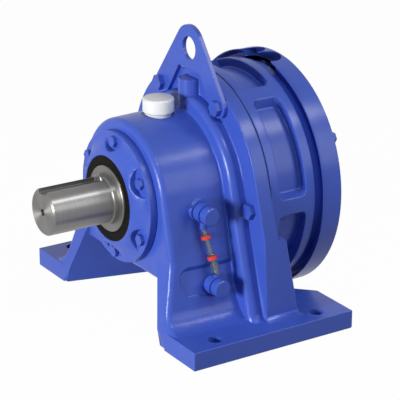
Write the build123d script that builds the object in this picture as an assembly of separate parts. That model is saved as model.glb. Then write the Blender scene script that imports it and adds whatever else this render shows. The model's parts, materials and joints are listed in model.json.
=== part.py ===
from build123d import *
import math
import os

# Foot-mounted cycloidal gear unit, in millimetres.
# The shaft axis runs along Y at CENTRE_HEIGHT above the base: the output end points to -Y
# and the motor flange is at +Y. The oil gauge is on the +X side and +Z is up.
# The origin is on the base plane, at the centre of the four foot bolts.

# Casing: overall
CENTRE_HEIGHT = 160.0
FOOT_LENGTH = 236.0
FOOT_SPAN = 397.0
FOOT_THICK = 24.0
PAD_WIDTH = 71.5
PAD_RAISE = 2.0
FOOT_CHAMFER = 32.0
FOOT_BOLT_X = 356.0
FOOT_BOLT_Y = 152.0
FOOT_HOLE_R = 9.0

# Casing: barrel and legs
BARREL_FRONT_R = 98.0
BARREL_REAR_R = 101.0
HUB_FACE_Y = -99.5
HUB_EDGE_R = 8.0
LEG_LEAN_FRONT = 13.0
LEG_LEAN_REAR = 14.0
LEG_BASE_R = 34.0
BLEND_SINK = 0.4
FRONT_RAKE = 13.5
RAKE_BEND_R = 60.0
ARCH_HALF_WIDTH = 119.0
ARCH_HEIGHT = CENTRE_HEIGHT - 87.0
ARCH_LEAN = 0.31
ARCH_TAPER = 0.26
ARCH_REAR_Y = -8.0
ARCH_LIP_R = 6.0
PANEL_FRONT_Y = -87.0
PANEL_TOP_Z = CENTRE_HEIGHT - 69.0
PANEL_BOTTOM_Z = 62.0
PANEL_DEPTH = 4.2
PANEL_LEAN = 5.0
PANEL_CORNER_R = 10.0
SHOULDER_R = 120.0
SHOULDER_FRONT_Y = -13.0
SHOULDER_LEAN = 16.0
SHOULDER_EDGE_R = 10.0
SHOULDER_BASE_R = 14.0

# Casing: rear flange and rear legs
FLANGE_R = 148.0
FLANGE_FRONT_Y = 5.0
FLANGE_THICK = 20.0
FLANGE_LEAN = 17.0
LEG_TOP_Z = CENTRE_HEIGHT - 32.0
REAR_LEG_LEAN = 4.1
REAR_LEG_Y = 37.0
REAR_LEG_RAKE = 9.0
REAR_LEG_BASE_R = 10.0
REAR_LEG_EDGE_R = 8.0
RING_GAP = 4.0
BOLT_CIRCLE_R = FLANGE_R - 14.0
BOLT_COUNT = 6
BOLT_R = 6.0
BOLT_HEAD_AF = 18.0
BOLT_HEAD_H = 7.5
BOLT_HOLE_GAP = 0.5
THREAD_GAP = 0.02

# Top boss, breather and lifting plate
BOSS_R = 15.5
BOSS_Y = 1.5
BOSS_TOP_Z = CENTRE_HEIGHT + 139.0
BREATHER_Y = -46.0
BREATHER_CAP_R = 20.0
BREATHER_CAP_H = 18.5
BREATHER_COLLAR_R = 17.0
BREATHER_COLLAR_H = 4.0
BREATHER_SEAT_R = 21.0
BREATHER_SEAT_Z = CENTRE_HEIGHT + 97.5
BREATHER_STEM_R = 10.0
BREATHER_STEM_L = 16.0
PLATE_THICK = 6.0
PLATE_EYE_Z = CENTRE_HEIGHT + 177.0
PLATE_EYE_R = 30.0
PLATE_HOLE_R = 15.0
PLATE_CORNER_R = 13.5
PLATE_WINDOW_TOP_Z = CENTRE_HEIGHT + 150.0
PLATE_WINDOW_TOP_HALF = 24.0
PLATE_WINDOW_SLOPE = 0.665

# Output shaft
SHAFT_R = 30.0
SHAFT_END_Y = -213.5
SHAFT_SHOULDER_Y = -130.0
SHAFT_CHAMFER = 2.0
KEYWAY_WIDTH = 18.0
KEYWAY_DEPTH = 7.0
KEYWAY_END_Y = -126.0
CENTRE_HOLE_R = 4.5
CENTRE_HOLE_L = 20.0
SEAT_R = 32.5
COLLAR_R = 42.5
COLLAR_FRONT_Y = -124.0
STEP_R = 37.0
CARRIER_SEAT_R = 40.0
CARRIER_R = 92.0
CARRIER_FRONT_Y = 4.0
CARRIER_THICK = 28.0

# Bearings: bore radius, outer radius, width, balls and ball radius
FRONT_BRG_OD_R = 60.0
FRONT_BRG_W = 23.0
FRONT_BRG_Y = -97.0
REAR_BRG_OD_R = 70.0
REAR_BRG_W = 26.0
REAR_BRG_Y = -24.0
PILOT_BRG_ID_R = 17.5
PILOT_BRG_OD_R = 36.0
PILOT_BRG_W = 17.0
DRIVE_BRG_ID_R = 27.5
DRIVE_BRG_OD_R = 50.0
DRIVE_BRG_W = 21.0
BALL_COUNT = 9
RUN_GAP = 0.03

# Front cover and seal
COVER_R = 84.5
COVER_RIM_Y = -110.0
COVER_NOSE_Y = -122.0
COVER_NOSE_R = 58.0
COVER_FLAT_R = 79.0
COVER_BOLT_CIRCLE_R = 73.5
COVER_BOLT_COUNT = 6
COVER_BOLT_R = 4.0
COVER_BOLT_AF = 13.0
COVER_BOLT_HEAD_H = 5.3
COVER_BOLT_L = 22.0
COVER_POCKET_R = 21.0
COVER_POCKET_OUT = 9.5
GASKET_T = 0.5
SEAL_R = 55.0
SEAL_W = 12.0
SEAL_LIP_GAP = 0.05

# Ring gear housing
RING_LENGTH = 66.8
JOINT_T = 0.8
POCKET_DEPTH = 12.0
POCKET_RIM = 13.5
POCKET_HALF_ANGLE = 23.5
POCKET_CORNER_R = 7.0
RIB_T = 10.0
RING_PIN_R = 5.0
RING_ROLLER_R = 9.0
SPIGOT_H = 4.0
SPIGOT_R = FLANGE_R - 23.0
SPIGOT_GAP = 0.05
RECESS_R = SPIGOT_R - 3.0
RING_PIN_CIRCLE_R = RECESS_R - 10.0
RIB_BORE_R = RING_PIN_CIRCLE_R - 2.5

# Cycloid discs and their crank
LOBES = 11
ECCENTRICITY = 5.5
LOBE_CLEARANCE = 0.08
DISC_T = 20.0
DISC_GAP = 0.25
SPACER_T = 3.0
SPACER_W = 9.0
OUTPUT_PIN_COUNT = 8
OUTPUT_PIN_CIRCLE_R = 70.0
OUTPUT_PIN_R = 9.0
OUTPUT_ROLLER_R = 14.0
OUTPUT_HOLE_CLEARANCE = 0.15
CRANK_BORE_R = 43.0
CRANK_R = 33.0
CRANK_ROLLER_COUNT = 12
CRANK_KEY_W = 8.0
CRANK_KEY_H = 7.0
CLIP_R = 28.0
CLIP_T = 1.8
INPUT_R = 25.0
INPUT_BORE_R = 19.0
INPUT_BORE_L = 80.0
INPUT_KEY_W = 10.0
INPUT_KEY_H = 3.3

# Motor flange
MOTOR_FLANGE_R = FLANGE_R + 8.0
MOTOR_FLANGE_T = 34.0
GROOVE_W = 3.4
GROOVE_DEPTH = 14.0
GROOVE_INNER_R = FLANGE_R - 5.0
LIP_T = 5.0
NOTCH_R = 17.0
NOTCH_DEPTH = 28.0
MOTOR_REGISTER_R = MOTOR_FLANGE_R - 41.0
MOTOR_REGISTER_DEPTH = 5.0
MOTOR_BOLT_CIRCLE_R = MOTOR_FLANGE_R - 23.5
MOTOR_BOLT_R = 6.0
MOTOR_BOLT_COUNT = 4
MOTOR_BOLT_DEPTH = 16.0
BOLT_GRIP = 20.0
INPUT_SEAL_R = 36.0
INPUT_SEAL_W = 8.0
INPUT_SEAL_SEAT_R = 26.0
INPUT_COLLAR_R = 31.0
INPUT_END_GAP = 0.6
RIM_SCREW_CIRCLE_R = MOTOR_FLANGE_R - 9.0
RIM_SCREW_COUNT = 4
RIM_SCREW_FIRST_DEG = 29.0
RIM_SCREW_R = 4.0
RIM_SCREW_AF = 13.0
RIM_SCREW_HEAD_H = 5.3
RIM_SCREW_L = 12.0
NOTCH_HALF_ANGLE = 6.5
NOTCH_CUSP = 7.0

# Oil gauge
GAUGE_UPPER = (115.0, -51.7, CENTRE_HEIGHT + 2.9)
GAUGE_LOWER = (129.0, -44.3, CENTRE_HEIGHT - 89.0)
GAUGE_NECK_TOP = (114.7, -52.4, CENTRE_HEIGHT - 17.2)
GAUGE_NECK_FOOT = (131.0, -42.4, CENTRE_HEIGHT - 74.6)
BANJO_R = 12.5
BANJO_W = 12.0
GAUGE_BOLT_R = 6.0
GAUGE_HEAD_R = 11.5
GAUGE_HEAD_H = 11.0
WASHER_T = 1.5
WASHER_R = 10.0
GAUGE_BOLT_L = 30.0
GAUGE_RING_AT = (9.0, 36.0)
GAUGE_END_AT = (46.8,)
GAUGE_END_R = 5.0
GAUGE_END_H = 8.0
GLASS_R = 3.6
GLASS_WALL = 0.9
GAUGE_STUB_R = 4.6
GAUGE_RING_R = 6.2
GAUGE_RING_H = 4.5
GAUGE_BOSS_R = 14.0
GAUGE_SPOT_R = 16.0
OILWAY_R = 4.0

# Drain plug under the barrel
DRAIN_Y = -52.0
DRAIN_R = 6.0
DRAIN_L = 24.0
DRAIN_SEAT_Z = CENTRE_HEIGHT - 98.5
DRAIN_AF = 17.0
DRAIN_HEAD_H = 8.0

# Places that follow from the sizes above
FRONT_Y = -FOOT_LENGTH / 2
REAR_Y = FOOT_LENGTH / 2
BODY_REAR_Y = SHOULDER_FRONT_Y + 8
FLANGE_REAR_Y = FLANGE_FRONT_Y + FLANGE_THICK
RING_FRONT_Y = FLANGE_REAR_Y + JOINT_T
RING_REAR_Y = RING_FRONT_Y + RING_LENGTH
MOTOR_FRONT_Y = RING_REAR_Y + JOINT_T
MOTOR_REAR_Y = MOTOR_FRONT_Y + MOTOR_FLANGE_T
RECESS_FRONT_Y = RING_FRONT_Y + RIB_T
RECESS_REAR_Y = RING_REAR_Y - RIB_T
DISC_PACK = 2 * DISC_T + SPACER_T + 2 * DISC_GAP
DISC_FRONT_Y = (RECESS_FRONT_Y + RECESS_REAR_Y - DISC_PACK) / 2
SPACER_Y = DISC_FRONT_Y + DISC_T + DISC_GAP
DISC_REAR_Y = SPACER_Y + SPACER_T + DISC_GAP
CARRIER_REAR_Y = CARRIER_FRONT_Y + CARRIER_THICK
PILOT_BRG_Y = CARRIER_REAR_Y - PILOT_BRG_W - 2
DRIVE_BRG_Y = MOTOR_FRONT_Y - 0.2
SLEEVE_FRONT_Y = DISC_FRONT_Y - 1.5
SLEEVE_REAR_Y = DISC_REAR_Y + DISC_T + 1.5
GAUGE_FACE_X = GAUGE_UPPER[0] - BANJO_W / 2 - WASHER_T
GAUGE_SPAN = (Vector(*GAUGE_NECK_TOP) - Vector(*GAUGE_NECK_FOOT)).length
OILWAY_TOP = Vector(55, GAUGE_LOWER[1], CENTRE_HEIGHT - 38)
RAKE_TOP_Z = FOOT_THICK + (HUB_FACE_Y - FRONT_Y) / math.tan(math.radians(FRONT_RAKE))


def yplane(y):
    # Sketch plane across the shaft: local x is +X and local y is +Z
    return Plane(origin=(0, y, 0), x_dir=(1, 0, 0), z_dir=(0, -1, 0))


def prism(sketch, y0, y1):
    return extrude(yplane(y0) * sketch, amount=-(y1 - y0))


def disc(r, y0, y1, x=0.0, z=0.0):
    return prism(Pos(x, CENTRE_HEIGHT + z) * Circle(r), y0, y1)


def ring(r_out, r_in, y0, y1, x=0.0, z=0.0):
    return disc(r_out, y0, y1, x, z) - disc(r_in, y0 - 1, y1 + 1, x, z)


def turned(*points):
    # Solid of revolution about the shaft axis from (radius, y) points
    outline = Pos(0, 0, CENTRE_HEIGHT) * make_face(Polyline(*points, close=True))
    return revolve(outline, Axis((0, 0, CENTRE_HEIGHT), (0, 1, 0)), 360)


def around(count, radius, first_deg=0.0):
    # Places on a circle about the shaft: (x, z from the axis) for each copy
    angles = [math.radians(first_deg + 360.0 * k / count) for k in range(count)]
    return [(radius * math.cos(a), radius * math.sin(a)) for a in angles]


def upright(r, z0, z1, x, y):
    return Pos(x, y, z0) * Cylinder(r, z1 - z0, align=(Align.CENTER, Align.CENTER, Align.MIN))


def sideways(r, x0, x1, y, z):
    # Cylinder along X from x0 to x1
    return Pos(x0, y, z) * Rot(0, 90, 0) * Cylinder(
        r, x1 - x0, align=(Align.CENTER, Align.CENTER, Align.MIN))


def rod(r, start, end):
    way = end - start
    return extrude(Plane(origin=start, z_dir=way) * Circle(r), amount=way.length)


def hex_bolt(shank_r, af, head_h, length, y_seat, x, z, way=1):
    # Hexagon head on y_seat; the shank runs to +Y from it, or to -Y where way is -1
    sides = Pos(x, CENTRE_HEIGHT + z) * RegularPolygon(af / 2, 6, major_radius=False)
    head_ends = sorted((y_seat, y_seat - way * head_h))
    shank_ends = sorted((y_seat, y_seat + way * length))
    return prism(sides, *head_ends) + disc(shank_r, *shank_ends, x, z)


def base_blend(x, z, lean_deg, radius):
    # Start, middle and end of the arc by which a wall that leans out from (x, z) meets the foot
    lean = math.radians(lean_deg)
    floor_z = FOOT_THICK - BLEND_SINK
    run = radius * math.tan((math.pi / 2 - lean) / 2)
    cx = x + (z - floor_z) * math.tan(lean) + run
    cz = floor_z + radius
    half = (math.pi / 2 + lean) / 2
    return [(cx - radius * math.cos(lean), cz - radius * math.sin(lean)),
            (cx - radius * math.cos(half), cz - radius * math.sin(half)),
            (cx, floor_z)]


def spread_sketch(x, z, lean_deg, radius):
    # Face below the level z: two walls lean out from x and bend into the feet
    start, middle, end = base_blend(x, z, lean_deg, radius)
    lines = [Line((-x, z), (x, z)), Line((-end[0], PAD_RAISE), (end[0], PAD_RAISE))]
    for way in (-1, 1):
        lines.append(Line((way * x, z), (way * start[0], start[1])))
        lines.append(ThreePointArc((way * start[0], start[1]), (way * middle[0], middle[1]),
                                   (way * end[0], end[1])))
        lines.append(Line((way * end[0], end[1]), (way * end[0], PAD_RAISE)))
    return make_face(lines)


def arch_tangent(radius, lean_deg):
    # Where a wall with this lean leaves the circle about the shaft
    lean = math.radians(lean_deg)
    return radius * math.cos(lean), CENTRE_HEIGHT + radius * math.sin(lean)


def arch_sketch(radius, lean_deg, base_r):
    tx, tz = arch_tangent(radius, lean_deg)
    return Pos(0, CENTRE_HEIGHT) * Circle(radius) + spread_sketch(tx, tz, lean_deg, base_r)


def arch_x(z, y):
    # Inner face of the legs: it leans in as it rises and as it runs back
    return ARCH_HALF_WIDTH - ARCH_LEAN * z - ARCH_TAPER * (y - FRONT_Y)


def foot_block(side):
    inner = arch_x(0, ARCH_REAR_Y)
    plan = make_face(Polyline(
        (side * FOOT_SPAN / 2, FRONT_Y),
        (side * FOOT_SPAN / 2, REAR_Y),
        (side * (inner + FOOT_CHAMFER), REAR_Y),
        (side * inner, REAR_Y - FOOT_CHAMFER),
        (side * inner, ARCH_REAR_Y),
        (side * ARCH_HALF_WIDTH, FRONT_Y),
        close=True))
    block = Pos(0, 0, PAD_RAISE) * extrude(plan, amount=FOOT_THICK - PAD_RAISE)
    pad_x = side * (FOOT_SPAN - PAD_WIDTH) / 2
    pad = Pos(pad_x, 0, 0) * Box(PAD_WIDTH, FOOT_LENGTH, PAD_RAISE + 1,
                                 align=(Align.CENTER, Align.CENTER, Align.MIN))
    return block + pad


def side_prism(points, half_width):
    # Solid across the casing from an outline of (y, z) points
    plane = Plane(origin=(-half_width, 0, 0), x_dir=(0, 1, 0), z_dir=(1, 0, 0))
    return extrude(plane * make_face(Polyline(*points, close=True)), amount=2 * half_width)


def wall_x(z, y):
    # Outer face of the front legs' wall, between its front and rear outlines
    part = (y - FRONT_Y) / (BODY_REAR_Y - FRONT_Y)
    ends = []
    for radius, lean in ((BARREL_FRONT_R, LEG_LEAN_FRONT), (BARREL_REAR_R, LEG_LEAN_REAR)):
        tx, tz = arch_tangent(radius, lean)
        ends.append(tx + (tz - z) * math.tan(math.radians(lean)))
    return ends[0] + part * (ends[1] - ends[0])


def panel_cutter():
    # Shallow panel in the leg's wall: its floor leans out more than the wall and so fades out
    front = Vector(wall_x(PANEL_TOP_Z, PANEL_FRONT_Y) - PANEL_DEPTH, PANEL_FRONT_Y, PANEL_TOP_Z)
    rear = Vector(wall_x(PANEL_TOP_Z, BODY_REAR_Y) - PANEL_DEPTH, BODY_REAR_Y, PANEL_TOP_Z)
    lean = math.radians((LEG_LEAN_FRONT + LEG_LEAN_REAR) / 2 + PANEL_LEAN)
    upward = Vector(-math.sin(lean), 0, math.cos(lean))
    along = (rear - front).normalized()
    height = (PANEL_TOP_Z - PANEL_BOTTOM_Z) / math.cos(lean)
    width = (rear - front).length
    outline = make_face(Polyline((0, 0), (width, 0), (width, -height), (0, -height), close=True))
    corners = [v for v in outline.vertices() if abs(v.X) < 0.1]
    floor = Plane(origin=front, x_dir=along, z_dir=along.cross(upward))
    return extrude(floor * fillet(corners, PANEL_CORNER_R), amount=3 * PANEL_DEPTH, taper=-45)


def front_body():
    front = yplane(FRONT_Y) * arch_sketch(BARREL_FRONT_R, LEG_LEAN_FRONT, LEG_BASE_R)
    rear = yplane(BODY_REAR_Y) * arch_sketch(BARREL_REAR_R, LEG_LEAN_REAR, LEG_BASE_R)
    body = loft([front, rear])
    top = CENTRE_HEIGHT + 2 * BARREL_REAR_R
    rake_foot = FOOT_THICK - 2 * BLEND_SINK
    rake = side_prism([(FRONT_Y - 5, rake_foot), (FRONT_Y, rake_foot), (HUB_FACE_Y, RAKE_TOP_Z),
                       (HUB_FACE_Y, top), (FRONT_Y - 5, top)], FOOT_SPAN)
    bend = [e for e in rake.edges() if abs(e.center().Y - HUB_FACE_Y) < 0.1
            and abs(e.center().Z - RAKE_TOP_Z) < 0.1]
    body = body - fillet(bend, RAKE_BEND_R)
    rounded = [e for e in body.edges()
               if e.bounding_box().max.Y < HUB_FACE_Y + 1 and e.bounding_box().max.Z > FOOT_THICK + 1
               and not (e.geom_type == GeomType.LINE and abs(e.center().X) < COVER_R)]
    return fillet(rounded, HUB_EDGE_R)


def arch_cavity():
    # The hollow under the barrel, between the legs, and the set-back web above its mouth
    top = RAKE_TOP_Z + 2
    y0 = FRONT_Y - 2
    levels = []
    for z in (-1.0, top):
        levels.append(Pos(0, 0, z) * make_face(Polyline(
            (-arch_x(z, y0), y0), (arch_x(z, y0), y0), (arch_x(z, ARCH_REAR_Y), ARCH_REAR_Y),
            (-arch_x(z, ARCH_REAR_Y), ARCH_REAR_Y), close=True)))
    profile = side_prism([(y0, -1), (ARCH_REAR_Y, -1), (ARCH_REAR_Y, ARCH_HEIGHT),
                          (HUB_FACE_Y, ARCH_HEIGHT), (HUB_FACE_Y, top), (y0, top)], FOOT_SPAN)
    lip = [e for e in profile.edges() if abs(e.center().Y - HUB_FACE_Y) < 0.1
           and abs(e.center().Z - ARCH_HEIGHT) < 0.1]
    return fillet(lip, ARCH_LIP_R) & loft(levels)


def rear_flange():
    # The round flange with its two legs, which run on behind it beside the ring gear housing
    tx, tz = arch_tangent(FLANGE_R, FLANGE_LEAN)
    kx = tx + (tz - LEG_TOP_Z) * math.tan(math.radians(FLANGE_LEAN))
    legs = spread_sketch(kx, LEG_TOP_Z, REAR_LEG_LEAN, REAR_LEG_BASE_R)
    cheeks = make_face(Polyline((-kx, LEG_TOP_Z), (kx, LEG_TOP_Z), (tx, tz), (-tx, tz), close=True))
    plate = prism(Pos(0, CENTRE_HEIGHT) * Circle(FLANGE_R) + cheeks + legs,
                  FLANGE_FRONT_Y, FLANGE_REAR_Y)
    start, middle, end = base_blend(REAR_LEG_Y, LEG_TOP_Z, REAR_LEG_RAKE, REAR_LEG_BASE_R)
    near = FLANGE_REAR_Y - 1
    outline = make_face([
        Line((near, PAD_RAISE), (near, LEG_TOP_Z)), Line((near, LEG_TOP_Z), (REAR_LEG_Y, LEG_TOP_Z)),
        Line((REAR_LEG_Y, LEG_TOP_Z), start), ThreePointArc(start, middle, end),
        Line(end, (end[0], PAD_RAISE)), Line((end[0], PAD_RAISE), (near, PAD_RAISE))])
    side_plane = Plane(origin=(-FOOT_SPAN / 2, 0, 0), x_dir=(0, 1, 0), z_dir=(1, 0, 0))
    slope = extrude(side_plane * outline, amount=FOOT_SPAN)
    crest = [e for e in slope.edges() if abs(e.center().Y - REAR_LEG_Y) < 0.1
             and abs(e.center().Z - LEG_TOP_Z) < 0.1]
    slope = fillet(crest, REAR_LEG_EDGE_R)
    rear = prism(legs, near, end[0] + 1) & slope
    rear = rear - disc(FLANGE_R + RING_GAP, FLANGE_REAR_Y, REAR_Y)
    inner = arch_x(0, ARCH_REAR_Y)
    between = Pos(0, FLANGE_REAR_Y, 0) * Box(2 * inner, end[0], 2 * LEG_TOP_Z,
                                             align=(Align.CENTER, Align.MIN, Align.CENTER))
    return plate + (rear - between)


def casing():
    body = front_body()
    panel = panel_cutter()
    body = body - panel - mirror(panel, about=Plane.YZ)
    shoulder = prism(arch_sketch(SHOULDER_R, SHOULDER_LEAN, SHOULDER_BASE_R),
                     SHOULDER_FRONT_Y, FLANGE_FRONT_Y + 1)
    front = [e for e in shoulder.edges() if abs(e.center().Y - SHOULDER_FRONT_Y) < 0.1
             and e.bounding_box().max.Z > FOOT_THICK + 1]
    shoulder = fillet(front, SHOULDER_EDGE_R)
    shell = body + shoulder + rear_flange() + foot_block(1) + foot_block(-1)
    shell = shell - arch_cavity()
    under_z = CENTRE_HEIGHT - FLANGE_R
    underside = Pos(0, ARCH_REAR_Y - 1, under_z) * Box(
        2 * arch_x(0, ARCH_REAR_Y), REAR_Y - ARCH_REAR_Y + 2, FLANGE_R,
        align=(Align.CENTER, Align.MIN, Align.MAX))
    shell = shell - underside
    shell = shell + turned((0, HUB_FACE_Y + 15), (BARREL_FRONT_R, HUB_FACE_Y + 15),
                           (BARREL_REAR_R, SHOULDER_FRONT_Y), (0, SHOULDER_FRONT_Y))
    shell = shell - disc(COVER_R + 1, FRONT_Y - 1, HUB_FACE_Y)
    shell = shell + upright(BOSS_R, CENTRE_HEIGHT + BARREL_FRONT_R / 2, BOSS_TOP_Z, 0, BOSS_Y)
    shell = shell + sideways(GAUGE_BOSS_R, BARREL_FRONT_R - 18, GAUGE_FACE_X,
                             GAUGE_UPPER[1], GAUGE_UPPER[2])
    # Inside, from the output end: bearing bores, oil chamber and bell
    shell = shell - disc(FRONT_BRG_OD_R, HUB_FACE_Y - 30, FRONT_BRG_Y + FRONT_BRG_W)
    shell = shell - disc(FRONT_BRG_OD_R - 5, HUB_FACE_Y, REAR_BRG_Y)
    chamber = turned((0, -66), (72, -66), (78, -60), (78, -44), (66, -30), (0, -30))
    shell = shell - chamber
    shell = shell - disc(REAR_BRG_OD_R, REAR_BRG_Y, CARRIER_FRONT_Y)
    shell = shell - disc(CARRIER_R + 8, CARRIER_FRONT_Y - 2, FLANGE_REAR_Y + 1)
    shell = shell - disc(SPIGOT_R, FLANGE_REAR_Y - SPIGOT_H, FLANGE_REAR_Y + 1)
    for x, z in around(COVER_BOLT_COUNT, COVER_BOLT_CIRCLE_R, 30):
        shell = shell - disc(COVER_BOLT_R + THREAD_GAP, HUB_FACE_Y - 20, HUB_FACE_Y + 18, x, z)
    for x, z in around(BOLT_COUNT, BOLT_CIRCLE_R):
        shell = shell - disc(BOLT_R + BOLT_HOLE_GAP, FLANGE_FRONT_Y - 30, FLANGE_REAR_Y + 1, x, z)
        shell = shell - disc(BOLT_HEAD_AF / 2 + 3.5, FLANGE_FRONT_Y - 45, FLANGE_FRONT_Y, x, z)
    for sx in (-1, 1):
        for sy in (-1, 1):
            shell = shell - upright(FOOT_HOLE_R, -5, FOOT_THICK + 40,
                                    sx * FOOT_BOLT_X / 2, sy * FOOT_BOLT_Y / 2)
    shell = shell - upright(BREATHER_STEM_R + THREAD_GAP, CENTRE_HEIGHT + 60,
                            BREATHER_SEAT_Z + 20, 0, BREATHER_Y)
    shell = shell - upright(BREATHER_SEAT_R, BREATHER_SEAT_Z, BREATHER_SEAT_Z + 20, 0, BREATHER_Y)
    # Ports of the oil gauge, the oilway up from the lower one, and the drain
    seat_x = GAUGE_LOWER[0] - BANJO_W / 2 - WASHER_T
    port_r = GAUGE_BOLT_R + THREAD_GAP
    shell = shell - sideways(GAUGE_SPOT_R, seat_x, FOOT_SPAN / 2, GAUGE_LOWER[1], GAUGE_LOWER[2])
    shell = shell - sideways(port_r, seat_x - 22, seat_x + 1, GAUGE_LOWER[1], GAUGE_LOWER[2])
    shell = shell - sideways(port_r, 70, GAUGE_FACE_X + 1, GAUGE_UPPER[1], GAUGE_UPPER[2])
    start = Vector(seat_x - 19, GAUGE_LOWER[1], GAUGE_LOWER[2])
    shell = shell - rod(OILWAY_R, start, OILWAY_TOP)
    shell = shell - upright(DRAIN_AF / 2 + 2, DRAIN_SEAT_Z - 5, DRAIN_SEAT_Z, 0, DRAIN_Y)
    shell = shell - upright(DRAIN_R + THREAD_GAP, DRAIN_SEAT_Z, DRAIN_SEAT_Z + 30, 0, DRAIN_Y)
    return shell


def front_cover():
    back = HUB_FACE_Y - GASKET_T
    seat = COVER_NOSE_Y + SEAL_W + 0.5
    cover = turned((SEAL_R, COVER_NOSE_Y), (COVER_NOSE_R, COVER_NOSE_Y), (COVER_FLAT_R, COVER_RIM_Y),
                   (COVER_R, COVER_RIM_Y), (COVER_R, back), (FRONT_BRG_OD_R - RUN_GAP, back),
                   (FRONT_BRG_OD_R - RUN_GAP, FRONT_BRG_Y), (SEAL_R - 4, FRONT_BRG_Y),
                   (SEAL_R - 4, seat), (SEAL_R, seat))
    for x, z in around(COVER_BOLT_COUNT, COVER_BOLT_CIRCLE_R, 30):
        out = 1 + COVER_POCKET_OUT / COVER_BOLT_CIRCLE_R
        cover = cover - disc(COVER_POCKET_R, COVER_NOSE_Y - 5, COVER_RIM_Y, out * x, out * z)
        cover = cover - disc(COVER_BOLT_R + BOLT_HOLE_GAP, COVER_NOSE_Y, back + 1, x, z)
    return cover


def cover_gasket():
    sheet = ring(COVER_R - 1, FRONT_BRG_OD_R, HUB_FACE_Y - GASKET_T, HUB_FACE_Y)
    for x, z in around(COVER_BOLT_COUNT, COVER_BOLT_CIRCLE_R, 30):
        sheet = sheet - disc(COVER_BOLT_R + BOLT_HOLE_GAP, HUB_FACE_Y - 2, HUB_FACE_Y + 2, x, z)
    return sheet


def cover_bolts():
    return Compound([hex_bolt(COVER_BOLT_R, COVER_BOLT_AF, COVER_BOLT_HEAD_H, COVER_BOLT_L,
                              COVER_RIM_Y, x, z)
                     for x, z in around(COVER_BOLT_COUNT, COVER_BOLT_CIRCLE_R, 30)])


def lip_seal(outer_r, shaft_r, front, width):
    # Rubber-covered case with a thin flange in front and a lip that bears on the shaft
    lip = shaft_r + SEAL_LIP_GAP
    back = front + width
    return turned((outer_r, front), (lip + 1.2, front), (lip + 0.6, front + 1), (lip, front + 3),
                  (lip + 1.5, front + 6), (lip + 3, front + 6), (lip + 3, front + 2.5),
                  (outer_r - 3, front + 2.5), (outer_r - 3, back), (outer_r, back))


def shaft_collar():
    front = COLLAR_FRONT_Y
    return turned((SEAT_R, front), (COLLAR_R - 1, front), (COLLAR_R, front + 1),
                  (COLLAR_R, FRONT_BRG_Y), (SEAT_R, FRONT_BRG_Y))


def output_shaft():
    brg_end = FRONT_BRG_Y + FRONT_BRG_W
    rear_end = REAR_BRG_Y + REAR_BRG_W
    shaft = turned(
        (0, SHAFT_END_Y), (SHAFT_R - SHAFT_CHAMFER, SHAFT_END_Y),
        (SHAFT_R, SHAFT_END_Y + SHAFT_CHAMFER), (SHAFT_R, SHAFT_SHOULDER_Y),
        (SEAT_R - 1, SHAFT_SHOULDER_Y), (SEAT_R, SHAFT_SHOULDER_Y + 1), (SEAT_R, brg_end),
        (STEP_R, brg_end), (STEP_R, REAR_BRG_Y - 4), (CARRIER_SEAT_R, REAR_BRG_Y - 4),
        (CARRIER_SEAT_R, rear_end), (CARRIER_SEAT_R + 7, rear_end),
        (CARRIER_SEAT_R + 7, CARRIER_FRONT_Y), (CARRIER_R, CARRIER_FRONT_Y),
        (CARRIER_R, CARRIER_REAR_Y), (PILOT_BRG_OD_R, CARRIER_REAR_Y),
        (PILOT_BRG_OD_R, PILOT_BRG_Y), (PILOT_BRG_ID_R + 6, PILOT_BRG_Y),
        (PILOT_BRG_ID_R + 6, PILOT_BRG_Y - 5), (0, PILOT_BRG_Y - 5))
    shaft = shaft - Pos(0, SHAFT_END_Y, CENTRE_HEIGHT) * Rot(90, 0, 0) * Cylinder(
        CENTRE_HOLE_R, 2 * CENTRE_HOLE_L)
    slot_end = KEYWAY_END_Y - KEYWAY_WIDTH / 2
    slot_z = CENTRE_HEIGHT + SHAFT_R - KEYWAY_DEPTH
    slot = Pos(0, (SHAFT_END_Y - 5 + slot_end) / 2, slot_z) * Box(
        KEYWAY_WIDTH, slot_end - SHAFT_END_Y + 5, 2 * KEYWAY_DEPTH,
        align=(Align.CENTER, Align.CENTER, Align.MIN))
    slot = slot + upright(KEYWAY_WIDTH / 2, slot_z, slot_z + 2 * KEYWAY_DEPTH, 0, slot_end)
    shaft = shaft - slot
    for x, z in around(OUTPUT_PIN_COUNT, OUTPUT_PIN_CIRCLE_R, 22.5):
        shaft = shaft - disc(OUTPUT_PIN_R, CARRIER_FRONT_Y + 4, CARRIER_REAR_Y + 1, x, z)
    return shaft


def output_pins():
    return Compound([disc(OUTPUT_PIN_R, CARRIER_FRONT_Y + 4, DISC_REAR_Y + DISC_T + 2, x, z)
                     for x, z in around(OUTPUT_PIN_COUNT, OUTPUT_PIN_CIRCLE_R, 22.5)])


def output_rollers():
    return Compound([ring(OUTPUT_ROLLER_R, OUTPUT_PIN_R + RUN_GAP, CARRIER_REAR_Y + 0.3,
                          DISC_REAR_Y + DISC_T + 1, x, z)
                     for x, z in around(OUTPUT_PIN_COUNT, OUTPUT_PIN_CIRCLE_R, 22.5)])


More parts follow.
